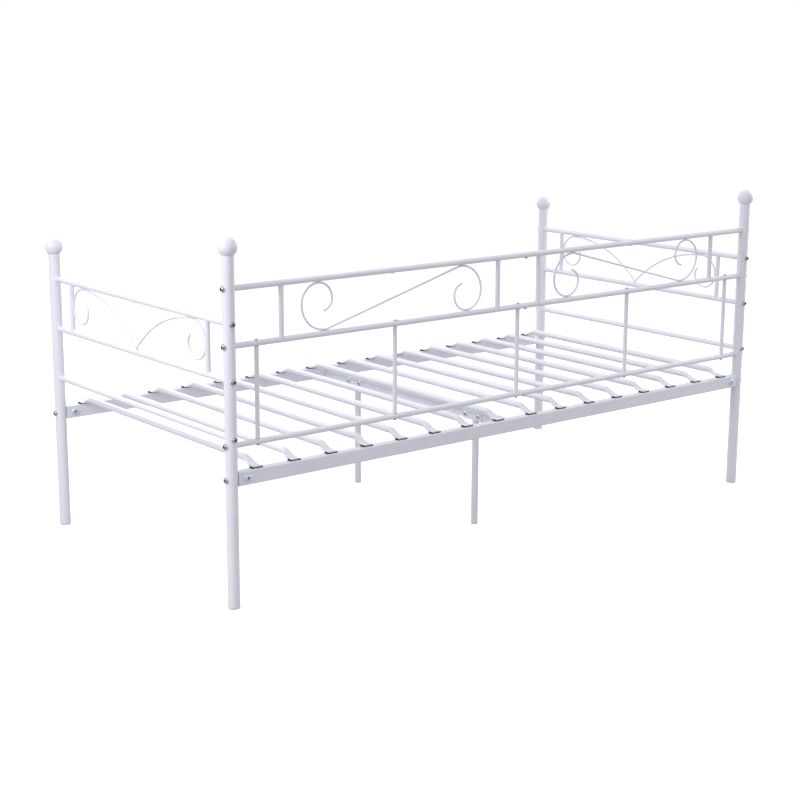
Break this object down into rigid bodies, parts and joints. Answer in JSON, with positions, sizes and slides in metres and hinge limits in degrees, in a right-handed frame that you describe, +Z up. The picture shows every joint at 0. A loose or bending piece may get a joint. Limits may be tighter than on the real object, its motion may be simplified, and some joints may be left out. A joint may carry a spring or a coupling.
{
  "type": "daybed",
  "caption": "Steel daybed frame with ball-topped posts, scrollwork end and back panels, tube slats on side rails and a centre beam on legs.",
  "frame": {"origin": "on the floor under the middle of the frame", "axes": "+X along the length, +Y towards the back panel, +Z up; the open front faces -Y"},
  "size_m": [1.9999, 0.9748, 0.9614],
  "materials": {
    "powder_coat": "white powder coat, satin, with a very fine orange-peel texture",
    "finial_plastic": "moulded white plastic, semi-gloss",
    "foot_plastic": "moulded off-white plastic, matt",
    "shoe_plastic": "moulded black plastic, matt",
    "zinc_steel": "bright zinc plate with a bluish cast",
    "bare_steel": "plain steel, hidden inside the tubes"
  },
  "bodies": {
    "root": {"back_left_post": "powder_coat", "back_lower_rail_left": "powder_coat", "back_lower_rail_right": "powder_coat", "back_middle_rail_left": "powder_coat", "back_middle_rail_right": "powder_coat", "back_rail_joiners": "bare_steel", "back_right_post": "powder_coat", "back_scroll_left": "powder_coat", "back_scroll_right": "powder_coat", "back_side_rail_left": "powder_coat", "back_side_rail_right": "powder_coat", "back_spindles": "powder_coat", "back_top_rail_left": "powder_coat", "back_top_rail_right": "powder_coat", "back_uprights": "powder_coat", "beam_plates": "powder_coat", "centre_beam": "powder_coat", "centre_leg_back": "powder_coat", "centre_leg_front": "powder_coat", "end_uprights": "powder_coat", "finials": "finial_plastic", "foot_plugs": "foot_plastic", "frame_nuts": "zinc_steel", "front_left_post": "powder_coat", "front_right_post": "powder_coat", "front_side_rail_left": "powder_coat", "front_side_rail_right": "powder_coat", "left_end_lower_rail": "powder_coat", "left_end_middle_rail": "powder_coat", "left_end_scroll": "powder_coat", "left_end_top_rail": "powder_coat", "leg_saddles": "powder_coat", "post_bolts": "zinc_steel", "post_washers": "zinc_steel", "rail_bolts": "zinc_steel", "right_end_lower_rail": "powder_coat", "right_end_middle_rail": "powder_coat", "right_end_scroll": "powder_coat", "right_end_top_rail": "powder_coat", "side_rail_brackets": "bare_steel", "side_rail_sleeves": "bare_steel", "slat_01": "powder_coat", "slat_02": "powder_coat", "slat_03": "powder_coat", "slat_04": "powder_coat", "slat_05": "powder_coat", "slat_06": "powder_coat", "slat_07": "powder_coat", "slat_08": "powder_coat", "slat_09": "powder_coat", "slat_10": "powder_coat", "slat_11": "powder_coat", "slat_12": "powder_coat", "slat_13": "powder_coat", "slat_14": "powder_coat", "slat_15": "powder_coat", "slat_16": "powder_coat", "slat_shoes": "shoe_plastic", "spindle_screws": "zinc_steel", "threaded_inserts": "zinc_steel"}
  },
  "joints": []
}
